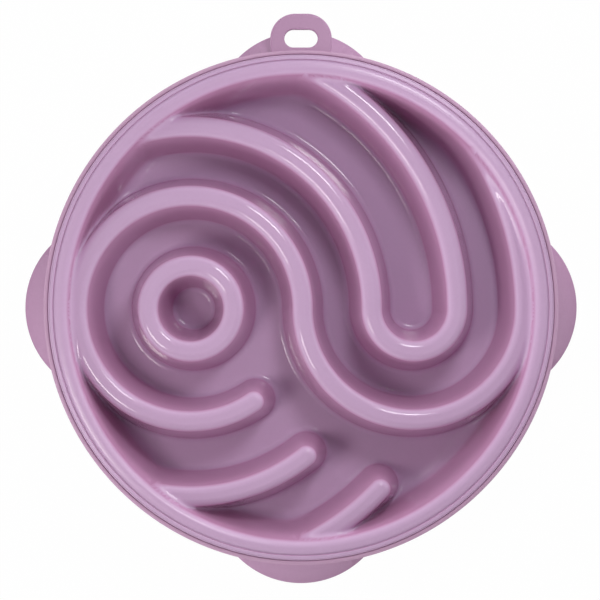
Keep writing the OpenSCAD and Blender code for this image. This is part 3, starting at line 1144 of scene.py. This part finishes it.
@dataclass
class BaseRing:
    """The satin base ring: band, ledge, skirt and foot, with four ears and the hanging loop."""

    band_r: float = 139.3
    band_w: float = 2.5
    band_h: float = 7.0
    band_top: float = 51.4
    band_round: float = 1.2
    band_step: float = 1.2
    ledge_z: float = 45.0
    ledge_w: float = 3.4
    ledge_t: float = 1.6
    skin: float = 2.4
    skirt_draft: float = 6.5
    foot_z: float = 1.2
    foot_w: float = 24.0
    foot_t: float = 2.8
    foot_round: float = 2.0
    ear_reach: float = 151.0
    ear_r: float = 48.8
    ear_edge: float = 36.3
    ear_slope: float = 45.0
    ear_t: float = 3.0
    ear_edge_round: float = 0.5
    pad_r: float = 8.15
    pad_seat_z: float = 2.6
    loop_reach: float = 159.1
    loop_w: float = 33.3
    loop_round: float = 13.5
    loop_t: float = 4.6
    loop_drop: float = 0.8
    loop_edge: float = 1.4
    slot_edge: float = 0.7
    slot_l: float = 18.1
    slot_w: float = 9.9
    slot_wall: float = 8.5
    pocket_edge: float = 0.1
    foot_edge: float = 0.8
    ear_root: float = 1.2
    ear_top: float = 0.4
    ear_side: float = 0.5
    inner_edge: float = 0.4
    haunch: float = 3.0
    haunch_round: float = 1.5
    path_step: float = 0.05
    stations: int = 864
    steps: int = 4
    loop_stations: int = 288
    loop_steps: int = 5
    ray_end: float = 40.0

    @property
    def band_bottom(self) -> float:
        """Height of the band's lower edge."""
        return self.band_top - self.band_h

    def skirt_r(self, height: Array | float) -> Array | float:
        """Radius of the skirt's outer face at a height."""
        drop = (self.band_bottom - height) * math.tan(math.radians(self.skirt_draft))
        return self.band_r - self.band_step - drop

    def outer_path(self) -> tuple[Array, Array]:
        """The outer face from the foot up to the band's top: fine steps, and where its corners are.

        Returns:
            Points (radius, height) and the numbers of the skirt's top and the band's lower edge.
        """
        top = self.band_bottom - self.band_step
        corners = [
            (self.skirt_r(self.foot_z + self.foot_round), self.foot_z + self.foot_round),
            (self.skirt_r(top), top),
            (self.band_r, self.band_bottom),
            (self.band_r, self.band_top - self.band_round),
        ]
        runs, marks, total = [], [], 0
        for start, end in zip(corners[:-1], corners[1:]):
            count = max(2, round(math.dist(start, end) / self.path_step))
            runs.append(np.linspace(start, end, count, endpoint=False))
            total += count
            marks.append(total)
        return np.concatenate(runs), np.array(marks[:2])

    def ring_shell(self) -> Shell:
        """The ring with its ears: one section for each station, with the ear as a part of it.

        An ear is a cone round its own upright axis. At each station the section leaves the skirt
        where the cone's lower face meets it, goes out round the ear's edge and comes back where
        the upper face meets the ring. Where there is no ear those corners all lie on the skirt.

        Returns:
            The closed shell.
        """
        turn = np.radians(360.0 * np.arange(self.stations) / self.stations)
        quarter = np.mod(turn + QUARTER_TURN / 2.0, QUARTER_TURN) - QUARTER_TURN / 2.0
        axis = self.ear_reach - self.ear_r
        ear_r = self.ear_r + self.ear_edge_round * self.edge_pull
        slope = math.tan(math.radians(self.ear_slope))
        path, marks = self.outer_path()
        radius, height = path[None, :, 0], path[None, :, 1]
        out = np.hypot(radius * np.cos(quarter)[:, None] - axis, radius * np.sin(quarter)[:, None])
        upper = self.ear_edge + (ear_r - out) * slope
        thick = self.ear_t / math.cos(math.radians(self.ear_slope))
        lower = np.maximum(upper - thick, self.ear_edge)
        has_ear = out[:, np.searchsorted(path[:, 1], self.ear_edge)] < ear_r
        loop_half = (self.slot_l / 2.0) / self.ear_reach
        has_ear &= np.abs(np.mod(turn - QUARTER_TURN + math.pi, FULL_TURN) - math.pi) > loop_half
        base = np.searchsorted(path[:, 1], self.ear_edge)
        top_at = np.where(has_ear, self.last_true(height <= upper), base)
        low_at = np.where(has_ear, np.minimum(self.last_true(height <= lower), top_at), base)
        low_at = np.minimum(low_at, marks[0])
        reach = axis * np.cos(quarter)
        lip = ear_r - thick / slope
        span = np.sqrt(np.maximum(ear_r**2 - (axis * np.sin(quarter)) ** 2, 0.0)) + reach
        inner = np.sqrt(np.maximum(lip**2 - (axis * np.sin(quarter)) ** 2, 0.0)) + reach
        low_root, top_root = path[low_at], path[top_at]
        edge = np.where(has_ear, np.maximum(span, low_root[:, 0]), path[base, 0])
        lip_r = np.where(has_ear, np.clip(inner, low_root[:, 0], edge), path[base, 0])
        level = np.full(self.stations, path[base, 1])
        step_at, band_at = (np.maximum(top_at, mark) for mark in marks)
        band_in, foot_top = self.band_r - self.band_w, self.foot_z + self.foot_t
        foot_in = self.skirt_r(self.foot_z) - self.foot_w
        ledge_in = band_in - self.ledge_w
        wall_z = self.ledge_z - self.ledge_t - self.haunch
        fixed = [
            (foot_in, self.foot_z),
            *[None] * 4,
            (self.skirt_r(self.foot_z), self.foot_z),
            *[None] * 6,
            (self.band_r, self.band_top),
            (band_in, self.band_top),
            (band_in, self.ledge_z),
            (ledge_in, self.ledge_z),
            (ledge_in, self.ledge_z - self.ledge_t),
            (self.skirt_r(wall_z) - self.skin, wall_z),
            (self.skirt_r(foot_top) - self.skin, foot_top),
            (foot_in, foot_top),
        ]
        moving = iter(
            [
                *self.pocket(turn, (foot_in + self.skirt_r(self.foot_z) - self.foot_round) / 2.0),
                low_root,
                np.column_stack([lip_r, level]),
                np.column_stack([edge, level]),
                top_root,
                path[step_at],
                path[band_at],
            ]
        )
        corners = np.empty((self.stations, len(fixed), 2))
        for number, corner in enumerate(fixed):
            corners[:, number] = next(moving) if corner is None else corner
        foot = [self.foot_edge, *[self.pocket_edge] * 4, self.foot_round]
        ear = [self.ear_root, *[self.ear_edge_round] * 2, self.ear_side, self.ear_top, self.ear_side]
        inside = [*[self.inner_edge] * 3, self.haunch_round, self.haunch_round, self.foot_edge]
        radii = np.array([*foot, *ear, self.band_round, self.band_round, *inside])
        sections, tangents = rounded_polygon(corners, radii, self.steps)
        ways = np.column_stack([np.cos(turn), np.sin(turn), np.zeros(self.stations)])
        return swept_shell(sections, tangents, np.zeros((self.stations, 3)), ways)

    @property
    def edge_pull(self) -> float:
        """How far rounding an ear's sharp edge draws it in, as a share of the rounding's radius."""
        return 1.0 / math.sin(math.radians(self.ear_slope) / 2.0) - 1.0

    def pocket(self, turn: Array, middle: float) -> list[Array]:
        """Corners of a pad's pocket in the foot, where each station's section cuts its circle.

        Args:
            turn: The stations' angles.
            middle: Distance of the pads from the bowl's axis.

        Returns:
            Four corners for each station, which lie on one point where there is no pocket.
        """
        apart = np.mod(turn, QUARTER_TURN) - QUARTER_TURN / 2.0
        half = np.sqrt(np.maximum(self.pad_r**2 - (middle * np.sin(apart)) ** 2, 0.0))
        reach = np.where(half > 0.0, middle * np.cos(apart), middle)
        seat = np.where(half > 0.0, self.pad_seat_z, self.foot_z)
        foot = np.full(len(turn), self.foot_z)
        rows = ((reach - half, foot), (reach - half, seat), (reach + half, seat), (reach + half, foot))
        return [np.column_stack(row) for row in rows]

    @staticmethod
    def last_true(flags: Array) -> Array:
        """For each row, the number of its last true flag, or 0 where it has none."""
        count = flags.shape[1]
        return np.where(flags.any(axis=1), count - 1 - np.argmax(flags[:, ::-1], axis=1), 0)

    def loop_shell(self) -> Shell:
        """The hanging loop: a rounded section between the slot's outline and the tab's outline.

        Both outlines are met along straight rays from the slot's middle. The tab's inner end lies
        inside the band.

        Returns:
            The closed shell.
        """
        count = self.loop_stations
        ray = compass(count)
        middle = self.loop_reach - self.slot_wall - self.slot_w / 2.0
        half = (self.slot_l - self.slot_w) / 2.0
        inner = self.reach_of(ray, lambda p: self.slot_value(p, half))
        outer = self.reach_of(ray, lambda p: self.tab_value(p, middle))
        top = self.band_top - self.loop_drop
        low, high = np.full(count, top - self.loop_t), np.full(count, top)
        pairs = ((inner, low), (outer, low), (outer, high), (inner, high))
        corners = np.stack([np.column_stack(pair) for pair in pairs], axis=1)
        radii = np.array([self.slot_edge, self.loop_edge, self.loop_edge, self.slot_edge])
        sections, tangents = rounded_polygon(corners, radii, self.loop_steps)
        origins = np.broadcast_to(np.array([0.0, middle, 0.0]), (count, 3))
        ways = np.column_stack([ray, np.zeros(count)])
        return swept_shell(sections, tangents, origins, ways)

    def slot_value(self, points: Array, half: float) -> Array:
        """Signed distance to the slot's outline, from its middle: a bar with round ends."""
        across = np.maximum(np.abs(points[..., 0]) - half, 0.0)
        return np.hypot(across, points[..., 1]) - self.slot_w / 2.0

    def tab_value(self, points: Array, middle: float) -> Array:
        """Signed distance to the tab's outline: a rounded square less the ring's inside.

        Args:
            points: Points in plan, from the slot's middle.
            middle: Distance of the slot's middle from the bowl's axis.

        Returns:
            Values below zero in the tab.
        """
        half, far = self.loop_w / 2.0, self.loop_reach - middle
        across = np.abs(points[..., 0]) - (half - self.loop_round)
        up = points[..., 1] - (far - self.loop_round)
        outside = np.hypot(np.maximum(across, 0.0), np.maximum(up, 0.0))
        tab = outside + np.minimum(np.maximum(across, up), 0.0) - self.loop_round
        back = self.band_r - self.band_w / 2.0
        return np.maximum(tab, back - np.hypot(points[..., 0], points[..., 1] + middle))

    def reach_of(self, ray: Array, value: Callable[[Array], Array]) -> Array:
        """How far each ray goes from the middle until a signed distance turns positive.

        Args:
            ray: Unit vectors, shaped (rays, 2).
            value: Gives the signed distance of points.

        Returns:
            Distances along the rays.
        """
        low, high = np.zeros(len(ray)), np.full(len(ray), self.ray_end)
        for _ in range(HALVINGS):
            reach = (low + high) / 2.0
            inside = value(ray * reach[:, None]) < 0.0
            low, high = np.where(inside, reach, low), np.where(inside, high, reach)
        return (low + high) / 2.0

    def shell(self) -> Shell:
        """The ring with its ears and the loop."""
        return self.ring_shell().joined(self.loop_shell())

    def build(self, axis: Vector, shelf: EffectShelf) -> bpy.types.Object:
        """Makes the ring and its finish, and puts it in the place of its CAD node.

        Args:
            axis: Where the bowl's axis stands in the frame, in metres.
            shelf: Where the shader groups come from.

        Returns:
            The piece.
        """
        piece = to_object(self.shell(), "ring_moulding", axis)
        piece.data.materials.append(BASE_SATIN.material(shelf))
        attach(piece, "base")
        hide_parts("base_ring")
        return piece


@dataclass
class Pad:
    """A soft pad: a rubber disc with a shallow groove underneath."""

    centre: tuple[float, float]
    radius: float
    height: float
    groove_r: float = 5.0
    groove_w: float = 1.4
    groove_t: float = 0.35
    stations: int = 96

    def shell(self) -> Shell:
        """The disc: a profile carried round its own axis, from the middle of its top to its bottom.

        Returns:
            The closed shell.
        """
        inner, outer = self.groove_r - self.groove_w / 2.0, self.groove_r + self.groove_w / 2.0
        profile = np.array(
            [
                (0.0, self.height),
                (self.radius - 0.3, self.height),
                (self.radius - 0.1, self.height - 0.1),
                (self.radius, self.height - 0.3),
                (self.radius, 0.6),
                (self.radius - 0.17, 0.2),
                (self.radius - 0.6, 0.0),
                (outer + 0.2, 0.0),
                (outer, 0.15),
                (outer - 0.3, self.groove_t),
                (inner + 0.3, self.groove_t),
                (inner, 0.15),
                (inner - 0.2, 0.0),
                (0.0, 0.0),
            ]
        )
        way = np.gradient(profile, axis=0)
        return turned_shell(profile, way, self.stations, self.centre).welded().outward()

    def build(self, node: str, finish: bpy.types.Material) -> bpy.types.Object:
        """Makes the pad in the place of its CAD node; its centre is given in the frame itself.

        Args:
            node: The CAD node that the pad stands for.
            finish: The rubber.

        Returns:
            The piece.
        """
        piece = to_object(self.shell(), f"{node}_disc", Vector((0.0, 0.0, 0.0)))
        piece.data.materials.append(finish)
        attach(piece, "base")
        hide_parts(node)
        return piece


@dataclass(frozen=True)
class SoftBox:
    """A small square lamp that faces the bowl, placed in metres from the middle of its rim."""

    name: str
    place: tuple[float, float, float]
    size: float
    radiance: float
    colour: tuple[float, float, float]

    def build(self, target: Vector) -> bpy.types.Object:
        """Adds the lamp, which the camera does not see.

        Args:
            target: The middle of the bowl's rim.

        Returns:
            The lamp's object.
        """
        lamp = bpy.data.lights.new(self.name, "AREA")
        lamp.shape, lamp.size, lamp.color = "SQUARE", self.size, self.colour
        lamp.energy = self.radiance * math.pi * self.size**2
        made = bpy.data.objects.new(self.name, lamp)
        made.location = target + Vector(self.place)
        made.rotation_euler = Vector(self.place).to_track_quat("Z", "Y").to_euler()
        made.visible_camera = False
        bpy.context.scene.collection.objects.link(made)
        return made


@dataclass(frozen=True)
class Studio:
    """The pale floor, the even surroundings, the lamps and the camera straight above the bowl.

    The brightness overhead and at the horizon changes over the given parts of a way that runs from
    the front right to the back left, and rises from one to the other over the given upward parts.
    """

    floor_half: float = 3.0
    floor_white: float = 0.8
    floor_glow: float = 0.985
    floor_light: float = 0.5
    overhead: tuple[float, float] = (0.08, 0.28)
    overhead_from_to: tuple[float, float] = (-1.0, 0.6)
    horizon: tuple[float, float] = (1.3, 1.55)
    horizon_from_to: tuple[float, float] = (-1.4, 1.4)
    lift_from_to: tuple[float, float] = (0.1, 0.6)
    lobes: float = 1.0
    lamps: tuple[SoftBox, ...] = (
        SoftBox("north_east_lamp", (0.116, 0.226, 0.35), 0.11, 17.5, (0.96, 0.98, 1.0)),
        SoftBox("south_west_lamp", (-0.219, -0.124, 0.35), 0.11, 13.0, (1.0, 0.97, 0.94)),
    )
    camera_above: float = 1.0
    seen_width: float = 0.3242
    axis_right_px: float = 1.0
    axis_down_px: float = 7.5
    picture_px: float = 600.0
    sensor_mm: float = 36.0

    def build(self, axis: Vector, rim_z: float) -> None:
        """Sets everything up round the bowl.

        Args:
            axis: Where the bowl's axis stands in the frame, in metres.
            rim_z: Height of the base ring's top, at which the seen width is measured.
        """
        self.floor()
        self.world()
        for lamp in self.lamps:
            lamp.build(Vector((axis.x, axis.y, rim_z)))
        self.camera(axis, rim_z)

    def floor(self) -> None:
        """A white floor that shows white to the camera, takes the bowl's shadow and lights it from below."""
        half = self.floor_half
        corners = [(-half, -half, 0.0), (half, -half, 0.0), (half, half, 0.0), (-half, half, 0.0)]
        mesh = bpy.data.meshes.new("floor")
        mesh.from_pydata(corners, [], [(0, 1, 2, 3)])
        made = bpy.data.objects.new("floor", mesh)
        bpy.context.scene.collection.objects.link(made)
        paint = bpy.data.materials.new("white_floor")
        paint.use_nodes = True
        paint.node_tree.nodes.clear()
        sheet = NodeSheet(paint.node_tree)
        white = (self.floor_white, self.floor_white, self.floor_white, 1.0)
        seen = sheet.add("LightPath").outputs["Is Camera Ray"]
        glow = sheet.math("MULTIPLY", seen, self.floor_glow)
        matt = sheet.add("BsdfDiffuse", {"Color": white})
        bright = sheet.add("Emission", {"Color": WHITE, "Strength": 1.0})
        both = sheet.add("MixShader", {0: glow, 1: matt.outputs[0], 2: bright.outputs[0]})
        unseen = sheet.math("MULTIPLY", sheet.math("SUBTRACT", 1.0, seen), self.floor_light)
        lit = sheet.add("Emission", {"Color": WHITE, "Strength": unseen})
        whole = sheet.add("AddShader", {0: both.outputs[0], 1: lit.outputs[0]})
        sheet.add("OutputMaterial", {"Surface": whole.outputs[0]})
        mesh.materials.append(paint)

    def world(self) -> None:
        """Pale surroundings that the camera sees as white.

        They are dim overhead and bright round the horizon, most of all behind at the right and in
        front at the left, by the square of the way's part along that line.
        """
        world = bpy.data.worlds.new("surroundings")
        bpy.context.scene.world = world
        world.use_nodes = True
        world.node_tree.nodes.clear()
        sheet = NodeSheet(world.node_tree)
        seen = sheet.add("LightPath").outputs["Is Camera Ray"]
        way = sheet.add("SeparateXYZ", {0: sheet.add("TexCoord").outputs["Generated"]}).outputs
        across = sheet.math("SUBTRACT", way["Y"], way["X"])
        along = sheet.math("ADD", way["Y"], way["X"])
        lobes = sheet.math("MULTIPLY", sheet.math("MULTIPLY", along, along), self.lobes)
        above = sheet.spread(across, *self.overhead_from_to, *self.overhead)
        beside = sheet.math("ADD", sheet.spread(across, *self.horizon_from_to, *self.horizon), lobes)
        lift = sheet.spread(way["Z"], *self.lift_from_to, 0.0, 1.0)
        share = sheet.add("Mix", {0: lift, 2: beside, 3: above}).outputs[0]
        strength = sheet.math("MAXIMUM", share, seen)
        back = sheet.add("Background", {"Color": WHITE, "Strength": strength})
        sheet.add("OutputWorld", {"Surface": back.outputs[0]})

    def camera(self, axis: Vector, rim_z: float) -> None:
        """A camera that looks straight down; its shift moves the bowl to its place in the picture.

        Args:
            axis: Where the bowl's axis stands in the frame, in metres.
            rim_z: Height at which the seen width is measured.
        """
        data = bpy.data.cameras.new("camera")
        data.sensor_width = self.sensor_mm
        data.lens = data.sensor_width * self.camera_above / self.seen_width
        data.shift_x = -self.axis_right_px / self.picture_px
        data.shift_y = self.axis_down_px / self.picture_px
        made = bpy.data.objects.new("camera", data)
        made.location = (axis.x, axis.y, rim_z + self.camera_above)
        bpy.context.scene.collection.objects.link(made)
        bpy.context.scene.camera = made


def main() -> None:
    """Builds the bowl, the ring, the pads and the studio in order."""
    logging.basicConfig(level=logging.INFO, format="%(name)s: %(message)s")
    low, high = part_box("bowl_pan")
    axis = Vector(((low[0] + high[0]) / 2.0, (low[1] + high[1]) / 2.0, 0.0))
    shelf = EffectShelf()
    bowl = MazeBowl(rim_r=(high[0] - low[0]) / 2.0 / MM, rim_z=high[2] / MM)
    bowl.build(axis, shelf)
    ring = BaseRing()
    ring.build(axis, shelf)
    rubber = PAD_RUBBER.material(shelf)
    for node in sorted(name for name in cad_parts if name.startswith("non_slip_pad")):
        low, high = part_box(node)
        centre = ((low[0] + high[0]) / 2.0 / MM, (low[1] + high[1]) / 2.0 / MM)
        Pad(centre, (high[0] - low[0]) / 2.0 / MM, high[2] / MM).build(node, rubber)
    Studio().build(axis, ring.band_top * MM)
    bpy.context.scene.view_settings.view_transform = "Standard"


if __name__ == "__main__":
    main()
